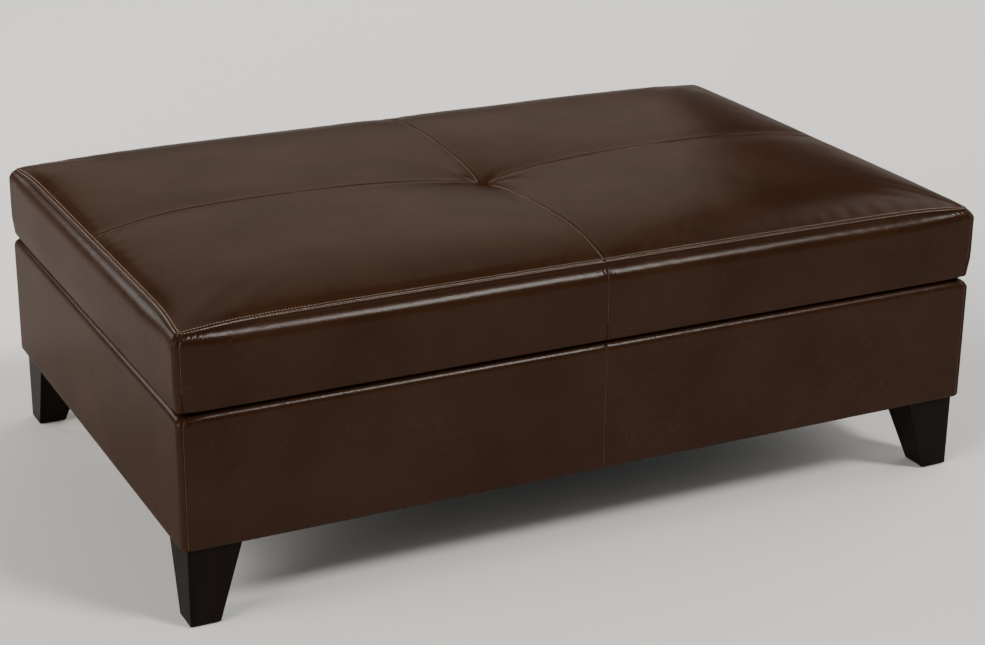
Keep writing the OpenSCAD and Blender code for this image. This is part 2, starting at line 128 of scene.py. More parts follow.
# How closely the meshes are spaced: beside a seam, then over each part.
FINE_PLACES = np.array([0, 0.4, 0.8, 1.2, 1.7, 2.4, 3.3, 4.5, 6, 8]) * MM
TOP_STEP = 7 * MM
SIDE_STEP = 6 * MM
FOAM_STEP = 12 * MM
LINING_STEP = 16 * MM
CORNER_STEPS = 9

# The cloth simulation of the top. Gravity points up, as the foam pushes.
CLOTH_STEP = 8 * MM
CLOTH_FRAMES = 24
FOAM_PUSH = 1.6
CLOTH = {
    "quality": 6,
    "mass": 0.25,
    "tension_stiffness": 25,
    "compression_stiffness": 25,
    "shear_stiffness": 12,
    "bending_stiffness": 3,
    "air_damping": 4,
    "shrink_min": -0.0012,
}


# ---- Meshes ----


def new_object(name, data):
    obj = bpy.data.objects.new(name, data)
    bpy.context.scene.collection.objects.link(obj)
    return obj


def new_mesh(name, verts, faces):
    mesh = bpy.data.meshes.new(name)
    mesh.from_pydata([tuple(v) for v in verts], [], [tuple(f) for f in faces])
    mesh.update()
    return mesh


def piece(name, verts, faces, material, body, smooth_deg=40):
    """A mesh object that rides on a body."""
    mesh = new_mesh(name, verts, faces)
    mesh.polygons.foreach_set("use_smooth", [True] * len(mesh.polygons))
    mesh.set_sharp_from_angle(angle=math.radians(smooth_deg))
    mesh.materials.append(material)
    obj = new_object(name, mesh)
    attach(obj, body)
    return obj


def grid_faces(rows, cols, start=0, flip=False):
    faces = []
    for i in range(rows - 1):
        for j in range(cols - 1):
            a = start + i * cols + j
            quad = (a, a + cols, a + cols + 1, a + 1)
            faces.append(quad[::-1] if flip else quad)
    return faces


def grid_normals(points):
    """Unit normals of a grid of points, on the side that grid_faces calls outer."""
    along = np.gradient(points, axis=0)
    across = np.gradient(points, axis=1)
    normals = np.cross(along, across)
    return normals / np.maximum(np.linalg.norm(normals, axis=2, keepdims=True), TINY)


def rim_of(rows, cols):
    rim = [i * cols for i in range(rows)]
    rim += [(rows - 1) * cols + j for j in range(1, cols)]
    rim += [i * cols + cols - 1 for i in range(rows - 2, -1, -1)]
    return rim + list(range(cols - 2, 0, -1))


def shell(points, thickness):
    """Vertices and faces of a closed skin: points is the grid of its outer face."""
    rows, cols, _ = points.shape
    count = rows * cols
    inner = points - grid_normals(points) * thickness
    verts = np.concatenate([points.reshape(-1, 3), inner.reshape(-1, 3)])
    faces = grid_faces(rows, cols) + grid_faces(rows, cols, count, flip=True)
    rim = rim_of(rows, cols)
    for k, a in enumerate(rim):
        b = rim[(k + 1) % len(rim)]
        faces.append((b, a, a + count, b + count))
    return verts, faces


def band_faces(count, lower, upper):
    """Faces between two closed rings of points, given by their numbers."""
    faces = []
    for j in range(count):
        m = (j + 1) % count
        faces.append((lower * count + j, lower * count + m, upper * count + m, upper * count + j))
    return faces


def spaced(length, step, fine_start=False, fine_end=False):
    """Distances from 0 to length: close together at the ends that are fine."""
    start = FINE_PLACES if fine_start else np.array([0.0])
    end = length - FINE_PLACES[::-1] if fine_end else np.array([length])
    count = max(2, round((end[0] - start[-1]) / step) + 1)
    middle = np.linspace(start[-1], end[0], count)[1:-1]
    return np.concatenate([start, middle, end])


def bell(distance, reach):
    """1 at no distance, falling smoothly to 0 beyond the reach."""
    return np.exp(-((distance / reach) ** 2))


def wave(x, y, z, size, seed):
    """Smooth noise between about -1 and 1, with features of that size."""
    return noise.noise(Vector((x / size + seed, y / size, z / size)))


def waves(points, size, seed):
    flat = points.reshape(-1, 3)
    values = [wave(x, y, z, size, seed) for x, y, z in flat]
    return np.array(values).reshape(points.shape[:2])


def along_of(points):
    """Distance along each point of a line from its start."""
    steps = np.linalg.norm(np.diff(points, axis=0), axis=1)
    return np.concatenate([[0], np.cumsum(steps)])


# ---- The crowned, tufted top ----


def swell(s):
    """The crown's rise: none at the edge, where s is 1, and full over most of the top."""
    return np.sqrt(np.maximum(0, 1 - s**6))


def tuft_pull(r):
    """How far the tuft pulls the top down at a distance r: a sharp dimple in a wide dip."""
    dimple, dimple_reach = 12 * MM, 22 * MM
    dip, dip_reach = 11 * MM, 130 * MM
    return dimple * np.exp(-r / dimple_reach) + dip * np.exp(-((r / dip_reach) ** 1.5))


def tuft_folds(x, y, r):
    """Eight shallow folds that run out from the tuft."""
    height, reach, start = 1.2 * MM, 45 * MM, 18 * MM
    count, turned = 8, 0.6
    beat = np.cos(count * np.arctan2(y, x) + turned)
    return height * beat * np.exp(-r / reach) * np.minimum(1, r / start)


def seam_valley(x, y, r):
    """The soft valley along the crossing seams, deeper and narrower towards the tuft."""
    depth, tuft_depth, tuft_reach = 2.0 * MM, 5.0 * MM, 70 * MM
    width, widening, widest_at = 15 * MM, 0.10, 200 * MM
    across = np.minimum(np.abs(x), np.abs(y))
    spread = width + widening * np.minimum(r, widest_at)
    return (depth + tuft_depth * np.exp(-r / tuft_reach)) * bell(across, spread)


def top_height(x, y):
    """Height of the padded top, without its narrow seam grooves."""
    r = np.hypot(x, y)
    rise = swell(np.abs(x) / TOP_W) * swell(np.abs(y) / TOP_D)
    return SEAM_Z + rise * (PLATEAU - seam_valley(x, y, r) - tuft_pull(r) + tuft_folds(x, y, r))


def grid_lines(half, step):
    """Places from -half to half, about a step apart, with one of them at 0."""
    return np.linspace(-half, half, round(2 * half / step / 2) * 2 + 1)


def settled_top():
    """Cloth simulation of the leather top, sewn down round its edge and at the tuft, and pushed
    up by the foam: returns its grid lines and how far each point has moved."""
    xs = grid_lines(TOP_W, CLOTH_STEP)
    ys = grid_lines(TOP_D, CLOTH_STEP)
    gx, gy = np.meshgrid(xs, ys, indexing="ij")
    start = np.stack([gx, gy, top_height(gx, gy)], axis=2)
    rows, cols, _ = start.shape
    mesh = new_mesh("settling", start.reshape(-1, 3), grid_faces(rows, cols))
    cloth = new_object("settling", mesh)
    held = cloth.vertex_groups.new(name="held")
    sewn = [i * cols + j for i in range(rows) for j in range(cols)
            if i in (0, rows - 1) or j in (0, cols - 1) or math.hypot(xs[i], ys[j]) < TUFT_R]
    held.add(sewn, 1.0, "REPLACE")
    modifier = cloth.modifiers.new("cloth", "CLOTH")
    for key, value in CLOTH.items():
        setattr(modifier.settings, key, value)
    modifier.settings.vertex_group_mass = "held"
    modifier.collision_settings.use_collision = False
    modifier.point_cache.frame_start = 1
    modifier.point_cache.frame_end = CLOTH_FRAMES
    scene = bpy.context.scene
    room_gravity = tuple(scene.gravity)
    scene.gravity = (0, 0, FOAM_PUSH)
    for number in range(1, CLOTH_FRAMES + 1):
        scene.frame_set(number)
    moved = cloth.evaluated_get(bpy.context.evaluated_depsgraph_get()).to_mesh()
    end = np.zeros(rows * cols * 3)
    moved.vertices.foreach_get("co", end)
    shift = end.reshape(rows, cols, 3) - start
    bpy.data.objects.remove(cloth)
    scene.gravity = room_gravity
    scene.frame_set(1)
    size = np.maximum(np.linalg.norm(shift, axis=2, keepdims=True), TINY)
    return xs, ys, shift * SETTLE_CAP * np.tanh(size / (3 * SETTLE_CAP)) / size


SETTLED = settled_top()


def cell_of(lines, places):
    """The grid cell that each place falls in, and how far across the cell it lies."""
    just_inside = len(lines) - 1.001
    spots = np.clip((places - lines[0]) / (lines[1] - lines[0]), 0, just_inside)
    numbers = spots.astype(int)
    return numbers, (spots - numbers)[..., None]


def settled_at(x, y):
    """How far the settled leather has moved at points, from the simulation's grid."""
    xs, ys, shift = SETTLED
    i, u = cell_of(xs, x)
    j, v = cell_of(ys, y)
    low = shift[i, j] * (1 - u) + shift[i + 1, j] * u
    high = shift[i, j + 1] * (1 - u) + shift[i + 1, j + 1] * u
    return low * (1 - v) + high * v


def edge_inset(c):
    """How far the top seam lies inside the ottoman's side, at a distance from the corner. The
    corners of the top are sewn nearly into the corners of the box."""
    return TOP_INSET - (TOP_INSET - CORNER_INSET) * bell(c, CORNER_REACH)


def corner_pull(x, y):
    """1 at the corners of the top, falling to 0 away from them."""
    return bell(TOP_W - np.abs(x), DROP_REACH) * bell(TOP_D - np.abs(y), DROP_REACH)


def rounded(x, y):
    """Pulls the corners of the rectangular top in to its round corners. Returns the new places
    and their distance from the edge."""
    r = CORNER_R
    dx = np.clip((np.abs(x) - (TOP_W - r)) / r, 0, 1)
    dy = np.clip((np.abs(y) - (TOP_D - r)) / r, 0, 1)
    ax = dx * np.sqrt(1 - dy**2 / 2)
    ay = dy * np.sqrt(1 - dx**2 / 2)
    nx = np.sign(x) * (np.minimum(np.abs(x), TOP_W - r) + ax * r)
    ny = np.sign(y) * (np.minimum(np.abs(y), TOP_D - r) + ay * r)
    in_corner = (dx > 0) & (dy > 0)
    straight = np.minimum(TOP_W - np.abs(nx), TOP_D - np.abs(ny))
    return nx, ny, np.where(in_corner, r * (1 - np.hypot(ax, ay)), straight)


def outlined(x, y):
    """Spreads the top out to its true outline, whose corners reach further than its sides. The
    spread is felt only near the edge."""
    steep = 8
    wide = (HALF_W - edge_inset(TOP_D - np.abs(y))) / TOP_W
    deep = (HALF_D - edge_inset(TOP_W - np.abs(x))) / TOP_D
    px = x * (1 + (wide - 1) * (x / TOP_W) ** steep)
    py = y * (1 + (deep - 1) * (y / TOP_D) ** steep)
    return px, py


def ridge(d):
    """The raised seam allowance beside the top seam, at a distance from the seam: rounded over
    at the seam, drawn down under its two rows of stitches, and with a soft channel behind."""
    lip_drop, row_drop = 1.5 * MM, 0.3 * MM
    channel_drop, channel_width = 0.5 * MM, 1.4 * MM
    inside = np.clip(d / RIDGE, 0, 1)
    dome = RIDGE_RISE * np.sin(np.pi * inside) ** 0.4 * (d < RIDGE)
    lip = lip_drop * bell(d, ROW_WIDTH)
    rows = row_drop * sum(bell(d - row, ROW_WIDTH) for row in ROWS)
    channel = channel_drop * bell(d - RIDGE - ROW_WIDTH, channel_width)
    return dome - lip - rows - channel


def edge_puckers(x, y, d):
    """Short soft gathers that run into the top seam, stronger in some stretches."""
    height, middle, reach = 0.32 * MM, 16 * MM, 13 * MM
    pitch, drift, stretch = 31 * MM, 47 * MM, 83 * MM
    along = np.where(TOP_W - np.abs(x) < TOP_D - np.abs(y), y, x)
    beat = np.sin(2 * math.pi * along / pitch + 1.7 * np.sin(along / drift))
    patch = 0.55 + 0.45 * np.sin(along / stretch + 2.0)
    return height * bell(d - middle, reach) * beat * patch


def top_surface(x, y):
    """Points on the leather top, with every seam."""
    settled_from = 25 * MM
    flank_rise, flank_at, flank_width = 0.35 * MM, 4 * MM, 2.5 * MM
    nx, ny, d = rounded(x, y)
    px, py = outlined(nx, ny)
    fade = np.clip(d / settled_from, 0, 1)[..., None]
    points = np.stack([px, py, top_height(nx, ny)], axis=-1) + settled_at(nx, ny) * fade
    across = np.minimum(np.abs(x), np.abs(y))
    groove = SEAM_DEPTH * bell(across, SEAM_WIDTH)
    flank = flank_rise * bell(across - flank_at, flank_width)
    points[..., 2] += ridge(d) + edge_puckers(nx, ny, d)
    points[..., 2] += (flank - groove) * np.clip(d / RIDGE, 0.4, 1)
    points[..., 2] -= CORNER_DROP * corner_pull(nx, ny)
    return points


def lid_top(sx, sy, node, material):
    """A quarter of the top, a hair short of the cross seams."""
    seam_gap, fade_in = 0.05 * MM, 30 * MM
    xs = np.maximum(spaced(TOP_W, TOP_STEP, True, True), seam_gap)
    ys = np.maximum(spaced(TOP_D, TOP_STEP, True, True), seam_gap)
    xs = xs if sx > 0 else -xs[::-1]
    ys = ys if sy > 0 else -ys[::-1]
    gx, gy = np.meshgrid(xs, ys, indexing="ij")
    points = top_surface(gx, gy)
    fade_x = np.clip((TOP_W - np.abs(gx)) / fade_in, 0, 1)
    fade_y = np.clip((TOP_D - np.abs(gy)) / fade_in, 0, 1)
    broad = 0.5 * MM * waves(points, 110 * MM, 3.1)
    small = 0.18 * MM * waves(points, 35 * MM, 7.7)
    points[..., 2] += fade_x * fade_y * (broad + small)
    verts, faces = shell(points, LEATHER)
    obj = piece(f"{node}_leather", verts, faces, material, "lid")
    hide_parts(node)
    before = np.stack([gx, gy, top_height(gx, gy)], axis=2)


# ---- Skins swept round the four sides ----


class Side:
    """A stretch of the way round the ottoman: straight runs and corners in order.

    Each stop is (kind, t): on a straight run, t goes from -1 to 1 along it; at a corner, t is
    the direction that the surface faces, in degrees, 0 for +X and 90 for +Y.
    """

    def __init__(self, stops):
        self.stops = stops

    def at(self, inset):
        """Points and outward directions all along, that far inside the outer face: one distance,
        or one for each stop."""
        insets = np.broadcast_to(inset, len(self.stops))
        points, outs = [], []
        for (kind, t), away in zip(self.stops, insets):
            w, d = HALF_W - away - CORNER_R, HALF_D - away - CORNER_R
            straight = {
                "front": ((t * w, -d - CORNER_R), (0, -1)),
                "right": ((w + CORNER_R, t * d), (1, 0)),
                "back": ((-t * w, d + CORNER_R), (0, 1)),
                "left": ((-w - CORNER_R, -t * d), (-1, 0)),
            }
            if kind in straight:
                point, out = straight[kind]
            else:
                out = (math.cos(math.radians(t)), math.sin(math.radians(t)))
                point = (kind[0] * w + CORNER_R * out[0], kind[1] * d + CORNER_R * out[1])
            points.append(point)
            outs.append(out)
        return np.array(points), np.array(outs)


def run(kind, start, end, fine_start=True, fine_end=True):
    """Stops along a straight run from t = start to t = end, closer together near the corners,
    where the leather is gathered."""
    half = (HALF_W if kind in ("front", "back") else HALF_D) - CORNER_R
    length = (end - start) * half
    places = spaced(length, SIDE_STEP, fine_start, fine_end)
    near = np.arange(GATHER_STEP, GATHERED, GATHER_STEP)
    if start == -1:
        places = np.concatenate([places[places < GATHER_STEP], near, places[places > GATHERED]])
    if end == 1:
        far = length - near[::-1]
        places = np.concatenate([places[places < far[0]], far, places[places > far[-1]]])
    return [(kind, start + s / half) for s in places]


def turned(corner, first, last):
    """Stops round a corner between two directions, without the two ends."""
    turn = last - first
    return [(corner, first + turn * k / CORNER_STEPS) for k in range(1, CORNER_STEPS)]


def end_side(kind, near_corner, far_corner, first):
    """A short side with the corner at each of its ends, from where it faces that first way. Its
    seams lie where the corners meet the long sides: the stops are close together there."""
    eased = (0, 1, 3, 6, 11)
    eased_to = 14
    middle, last = first + 90, first + 180
    return Side(
        [(near_corner, first + a) for a in eased]
        + turned(near_corner, first + eased_to, middle)
        + run(kind, -1, 1, False, False)
        + turned(far_corner, middle, last - eased_to)
        + [(far_corner, last - a) for a in reversed(eased)]
    )


SIDES = {
    "front_left": Side(run("front", -1, 0)),
    "front_right": Side(run("front", 0, 1)),
    "right": end_side("right", (1, -1), (1, 1), -90),
    "back": Side(run("back", -1, 1)),
    "left": end_side("left", (-1, 1), (-1, -1), 90),
}

# Each corner in order: its place, the side that follows it, and the way it faces at its start.
CORNERS = (
    ((1, -1), "right", -90),
    ((1, 1), "back", 0),
    ((-1, 1), "left", 90),
    ((-1, -1), "front", 180),
)


def corner_distance(points):
    """How far each point of an outline is from the nearest corner, along its side."""
    away = np.maximum(HALF_W - np.abs(points[:, 0]), HALF_D - np.abs(points[:, 1]))
    return np.maximum(0, away - CORNER_R)


def swept(side, profile, drape):
    """The outer face of a skin. profile(c) gives its (inset, height) points from the lower end
    up, at a distance c from the corner, and drape(along, left, height, x, y) says how far it
    stands proud there."""
    outer, _ = side.at(0)
    along = along_of(outer)
    columns = [profile(c) for c in corner_distance(outer)]
    levels = []
    for k in range(len(columns[0])):
        insets = np.array([column[k][0] for column in columns])
        heights = np.array([column[k][1] for column in columns])
        points, outs = side.at(insets)
        proud = drape(along, along[-1] - along, heights, points[:, 0], points[:, 1])
        levels.append(np.column_stack([points + outs * proud[:, None], heights]))
    return np.stack(levels, axis=1)


def arc(centre, r, first, last, steps):
    """Points of an arc in a profile, from one direction to another in degrees: 0 faces inwards,
    90 up, 180 outwards and 270 down."""
    turns = [math.radians(first + (last - first) * k / steps) for k in range(steps + 1)]
    return [(centre[0] + r * math.cos(a), centre[1] + r * math.sin(a)) for a in turns]


def climb(inset, low, high, count):
    """Points straight up a profile, without the two ends."""
    return [(inset, low + (high - low) * k / count) for k in range(1, count)]


def seam_dip(along, left):
    """The groove that a vertical seam makes at each end of a panel, with its puckered flanks."""
    near = np.minimum(along, left)
    flank, flank_width = 0.5 * MM, 9 * MM
    return -SEAM_DEPTH * bell(near, SEAM_WIDTH) - flank * bell(near, flank_width)


def slack(x, y, z, seed, depth):
    """The gentle unevenness of stretched leather."""
    broad = np.array([wave(*p, SLACK_SIZE, seed) for p in zip(x, y, z)])
    small = np.array([wave(*p, SLACK_SIZE / 4, seed + 5) for p in zip(x, y, z)])
    return depth * broad + 0.22 * depth * small


def base_drape(along, left, z, x, y):
    tight_foot = 20 * MM
    rise = np.clip((z - BASE_LOW) / tight_foot, 0, 1)
    return rise * (seam_dip(along, left) + slack(x, y, z, 11.0, 0.32 * MM))


def gathers(along, left, z):
    """Short upright creases in the boxing just under the top seam: deep pleats beside the
    corners, and slight ones all along."""
    height, middle, spread = 26 * MM, 0.42, 0.36
    pleat, pleat_pitch, pleat_drift = 0.55 * MM, 6.4 * MM, 5 * MM
    pleats_at, pleats_spread = 12 * MM, 17 * MM
    crease, crease_pitch, crease_drift, stretch = 0.13 * MM, 4.1 * MM, 37 * MM, 61 * MM
    near = np.minimum(along, left)
    below = (SEAM_Z - z) / height
    turn = 2 * math.pi * near / pleat_pitch
    beat = np.sin(turn + 1.2 * np.sin(near / pleat_drift) + 1.5 * below)
    pleats = pleat * bell(near - pleats_at, pleats_spread) * beat
    slow = np.sin(along / crease_pitch + 2.3 * np.sin(along / crease_drift))
    patchy = 0.5 + 0.5 * np.sin(along / stretch + 1.0)
    return bell(below - middle, spread) * (pleats + crease * slow * patchy)


def lid_drape(along, left, z, x, y):
    """The boxing swells a little at half its height, and lies tight just under the top seam."""
    swelling, tight, eased = 0.9 * MM, 1 * MM, 9 * MM
    part = np.clip((z - LID_LOW) / (SEAM_Z - LID_LOW), 0, 1)
    loose = np.clip((SEAM_Z - tight - z) / eased, 0, 1)
    dip = seam_dip(along, left) * np.minimum(1, 0.3 + loose)
    sway = slack(x, y, z, 23.0, 0.4 * MM) + swelling * np.sin(math.pi * part)
    return dip + loose * sway + gathers(along, left, z)


def base_profile(c):
    """From under the base, up its face, over its padded edge and down inside."""
    drop, drop_reach = 1.2 * MM, 16 * MM
    inner_r, hem = 2.5 * MM, 0.4 * MM
    inner_face = WALL + LEATHER + 0.5 * MM
    top = BASE_TOP - drop * float(bell(c, drop_reach))
    under = [
        (inner_face, BASE_LOW + hem),
        (WALL * 0.6, BASE_LOW),
        (BASE_FOOT_R + 3 * MM, BASE_LOW),
    ]
    foot = arc((BASE_FOOT_R, BASE_LOW + BASE_FOOT_R), BASE_FOOT_R, 270, 180, 6)
    face = climb(0, BASE_LOW + BASE_FOOT_R, top - BASE_EDGE_R, 18)
    edge = arc((BASE_EDGE_R, top - BASE_EDGE_R), BASE_EDGE_R, 180, 90, 12)
    over = [(BASE_EDGE_R + 5 * MM, top)]
    over += arc((inner_face - inner_r, top - inner_r), inner_r, 90, 0, 5)
    inside = [(inner_face, BASE_TOP - s * MM) for s in (6.5, 12, 19)]
    return under + foot + face + edge + over + inside


def lid_profile(foot_r):
    """The boxing's profile: from under the deck, round its lower edge and up to the top seam."""
    turn = LINING_INSET - 0.5 * MM
    hem, lift, lift_reach = 0.3 * MM, 1.0 * MM, 18 * MM
    under_ridge, under_seam = 0.3 * MM, 0.4 * MM
    foot_height, roll_steps = 16 * MM, 18
    tucks = ((0.5, 0.5), (0.9, 1.5), (3, 2.6))

    def profile(c):
        low = LID_LOW + lift * float(bell(c, lift_reach))
        seam_in = float(edge_inset(c)) - under_ridge
        top = SEAM_Z - CORNER_DROP * float(bell(c, DROP_REACH)) - under_seam
        deep = SHOULDER * (0.6 + 0.4 * (seam_in - CORNER_INSET) / (TOP_INSET - CORNER_INSET))
        under = [(turn, LID_LOW + hem), (turn * 0.6, LID_LOW), (foot_r + 5 * MM, low)]
        foot = arc((foot_r + FOOT_INSET, low + foot_r), foot_r, 270, 180, 6)
        face = climb(0, low + foot_r + foot_height, top - deep, 8)
        reach = seam_in / (1 - math.cos(SEAM_TURN))
        rise = deep / math.sin(SEAM_TURN)
        turns = [SEAM_TURN * k / roll_steps for k in range(roll_steps + 1)]
        roll = [(reach * (1 - math.cos(a)), top - deep + rise * math.sin(a)) for a in turns]
        tuck = [(seam_in + s * MM, top - t * MM) for s, t in tucks]
        return under + foot + face + roll + tuck

    return profile


def strip_size(side, profile):
    """The strip that a skin is cut from: the length of its side, by the girth of its profile
    away from the corners, before it is draped."""
    away = 1.0
    outer, _ = side.at(0)
    return float(along_of(outer)[-1]), float(along_of(np.array(profile(away)))[-1])


def skin(side_name, node, profile, drape, material, body):
    """One panel of leather on the sides."""
    side = SIDES[side_name]
    verts, faces = shell(swept(side, profile, drape), LEATHER)
    obj = piece(f"{node}_leather", verts, faces, material, body)
    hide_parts(node)
    strip_size(side, profile)


# ---- Foam ----


def outline(inset):
    """The way round the ottoman at that inset, as a closed ring of points. inset(c) may change
    with the distance from the corner."""
    corner_steps = 6
    stops = []
    for corner, kind, first in CORNERS:
        stops += [(corner, first + 90 * k / corner_steps) for k in range(corner_steps + 1)]
        length = 2 * (HALF_D if kind in ("left", "right") else HALF_W)
        count = round(length / FOAM_STEP)
        stops += [(kind, -1 + 2 * k / count) for k in range(1, count)]
    ring = Side(stops)
    outer, _ = ring.at(0)
    return ring.at(np.array([inset(c) for c in corner_distance(outer)]))[0]


def level_ring(plan, z):
    return np.column_stack([plan, np.full(len(plan), z)])


def closed_rings(rings):
    """Vertices and faces of a solid made of rings, closed with a fan at each end."""
    count = len(rings[0])
    verts = [p for ring in rings for p in ring]
    faces = []
    for k in range(len(rings) - 1):
        faces += band_faces(count, k, k + 1)
    for start, flip in ((0, True), ((len(rings) - 1) * count, False)):
        middle = len(verts)
        verts.append(np.mean(rings[start // count], axis=0))
        for j in range(count):
            a, b = start + j, start + (j + 1) % count
            faces.append((b, a, middle) if flip else (a, b, middle))
    return verts, faces


def lid_foam(material):
    """The lid's block of foam: flat on the deck, rounded at the shoulder and crowned. It is a
    stack of rings, and those under and over it are scaled copies of one outline."""
    under_scales = (0.03, 0.35, 0.7, 0.94)
    top_scales = (1, 0.99, 0.975, 0.95, 0.92, 0.88, 0.82, 0.74,
                  0.64, 0.52, 0.40, 0.28, 0.17, 0.09, 0.04, 0.012)
    skin_room = LEATHER + 1.2 * MM
    shoulder_room, side_drop = 2.2 * MM, 0.3 * MM
    top_room = LEATHER + 2.6 * MM + SETTLE_CAP
    edge_room, edge_drop, deepest = 8 * MM, 4 * MM, 9 * MM
    side = lid_profile(LID_FOOT_R)
    # The last points of the side's profile are left off: the crown takes over there.
    left_off = 11
    under = outline(lambda c: skin_room)
    rings = [level_ring(under * scale, DECK_TOP + 0.1 * MM) for scale in under_scales]
    for k, (_, level) in enumerate(side(1.0)[:-left_off]):
        if level < DECK_TOP:
            continue
        room = skin_room + (shoulder_room if level > SEAM_Z - SHOULDER else 0)
        plan = outline(lambda c, k=k, room=room: side(c)[k][0] + room)
        rings.append(level_ring(plan, level - side_drop))
    edge = outline(lambda c: edge_inset(c) + edge_room)
    for scale in top_scales:
        plan = edge * scale
        x, y = plan.T
        z = top_height(x, y) - top_room - CORNER_DROP * corner_pull(x, y)
        if scale > 0.98:
            z = z - edge_drop
        rings.append(level_ring(plan, np.maximum(z, SEAM_Z - deepest)))
    verts, faces = closed_rings(rings)
    obj = piece("lid_foam_pad", verts, faces, material, "lid")
    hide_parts("lid_foam")


def ring_solid(name, node, profile, material, body, ripple=None):
    """A closed ring round the ottoman: profile is its closed section of (inset, height)."""
    rings = []
    for inset, z in profile:
        plan = outline(lambda c: inset)
        if ripple:
            plan = plan * (1 + ripple(plan[:, 0], plan[:, 1], z))[:, None]
        rings.append(level_ring(plan, z))
    faces = []
    for k in range(len(rings)):
        faces += band_faces(len(rings[0]), k, (k + 1) % len(rings))
    obj = piece(name, np.concatenate(rings), faces, material, body)
    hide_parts(node)
    return obj


def base_padding(material):
    """The thin foam between the base's boards and its leather."""
    under_top, over_shoulder, gap = 3.5 * MM, 2 * MM, 0.4 * MM
    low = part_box("base_padding")[0].z
    high = BASE_TOP - LEATHER - under_top
    board = HALF_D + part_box("base_front_panel")[0].y
    skin_room = LEATHER + 0.9 * MM
    r = board - skin_room - gap
    outer = [(skin_room, z) for z in np.linspace(low, high - r - 6 * MM, 8)]
    shoulder = arc((skin_room + r, high - r - over_shoulder), r, 180, 95, 6)
    inner = [(board - 0.1 * MM, z) for z in np.linspace(high - 4 * MM, low, 6)]
    section = outer + shoulder + inner
    obj = ring_solid("base_foam_ring", "base_padding", section, material, "base")


# ---- Linings ----


def wall_lining(material):
    """The lining of the storage box's four walls, a little fuller halfway up."""
    low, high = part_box("storage_lining")
    wall, thick, full = WALL + 0.1 * MM, 0.9 * MM, 0.4 * MM
    levels = np.linspace(low.z, high.z, 12)
    back = [(wall, z) for z in levels]
    parts = np.linspace(0, 1, len(levels))
    front = [(wall + thick + full * math.sin(math.pi * s), z) for s, z in zip(parts, levels)]

    def ripple(x, y, z):
        return -0.0006 * np.array([wave(a, b, z, 90 * MM, 4.0) for a, b in zip(x, y)]) ** 2

    obj = ring_solid("storage_wall_lining", "storage_lining", front[::-1] + back,
                     material, "base", ripple)


def flat_lining(name, node, body, face_up, material, lift):
    """A sheet of lining in the place of its node, with low ripples and a folded hem."""
    thick, hem_rise, hem_width = 0.7 * MM, 0.5 * MM, 13 * MM
    ripple_from, ripple_size, ripple_seed = 40 * MM, 120 * MM, 9.0
    low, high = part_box(node)
    xs = low.x + spaced(high.x - low.x, LINING_STEP)
    ys = low.y + spaced(high.y - low.y, LINING_STEP)
    gx, gy = np.meshgrid(xs, ys, indexing="ij")
    edge = np.minimum(np.minimum(gx - low.x, high.x - gx), np.minimum(gy - low.y, high.y - gy))
    hem = hem_rise * (edge < hem_width)
    flat = np.stack([gx, gy, 0 * gx], axis=2)
    uneven = 0.5 + 0.5 * waves(flat, ripple_size, ripple_seed)
    proud = thick + hem + lift * np.clip(edge / ripple_from, 0, 1) * uneven
    if face_up:
        points = np.stack([gx, gy, low.z + proud], axis=2)
    else:
        points = np.stack([gx, gy, high.z - proud], axis=2)[:, ::-1]
    verts, faces = shell(points, thick)
    obj = piece(name, verts, faces, material, body)
    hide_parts(node)


# ---- Stitches and staples ----


def stitch_mesh(path, outward, thread_r, length, gap):
    """A row of raised stitches along a path, each a short bowed thread."""
    verts, faces = [], []
    sides, rings = 5, 4
    along = along_of(path)
    total = along[-1]
    count = max(1, int(total / (length + gap)))
    pitch = total / count

    def at(line, s):
        return np.array([np.interp(s, along, line[:, k]) for k in range(3)])

    for n in range(count):
        start = n * pitch + (pitch - length) / 2
        first_point, last_point = at(path, start), at(path, start + length)
        up = at(outward, start + length / 2)
        up = up / np.linalg.norm(up)
        ahead = (last_point - first_point) / np.linalg.norm(last_point - first_point)
        across = np.cross(ahead, up)
        first = len(verts)
        for ring in range(rings + 1):
            bow = math.sin(math.pi * ring / rings)
            lift = up * thread_r * (1.5 * bow - 0.6)
            centre = at(path, start + length * ring / rings) + lift
            r = thread_r * (0.55 + 0.45 * bow)
            for side in range(sides):
                turn = 2 * math.pi * side / sides
                verts.append(centre + r * (math.cos(turn) * across + math.sin(turn) * up))
        for ring in range(rings):
            for side in range(sides):
                a = first + ring * sides + side
                b = first + ring * sides + (side + 1) % sides
                faces.append((a, a + sides, b + sides, b))
        faces.append(tuple(first + side for side in range(sides)))
        faces.append(tuple(first + rings * sides + side for side in reversed(range(sides))))
    return verts, faces


def stitching(name, rows, material, body, shape=STITCHES):
    """A piece made of several rows of stitches, each a path with its outward directions."""
    verts, faces = [], []
    for path, outward in rows:
        new_verts, new_faces = stitch_mesh(path, outward, *shape)
        faces += [tuple(i + len(verts) for i in f) for f in new_faces]
        verts += new_verts
    piece(name, verts, faces, material, body, smooth_deg=70)


def staple_row(node, body, lift, material):
    """Staples all round the hem of a lining, on its underside."""
    low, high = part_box(node)
    x, y, z = high.x - STAPLE_INSET, high.y - STAPLE_INSET, low.z + lift
    spots = [(-x, -y, z), (x, -y, z), (x, y, z), (-x, y, z), (-x, -y, z)]
    down = np.array([(0.0, 0.0, -1.0)] * 2)
    rows = [(np.array(ends), down) for ends in zip(spots, spots[1:])]
    stitching(f"{node}_staples", rows, material, body, STAPLES)


def upward(count):
    return np.tile([0.0, 0.0, 1.0], (count, 1))


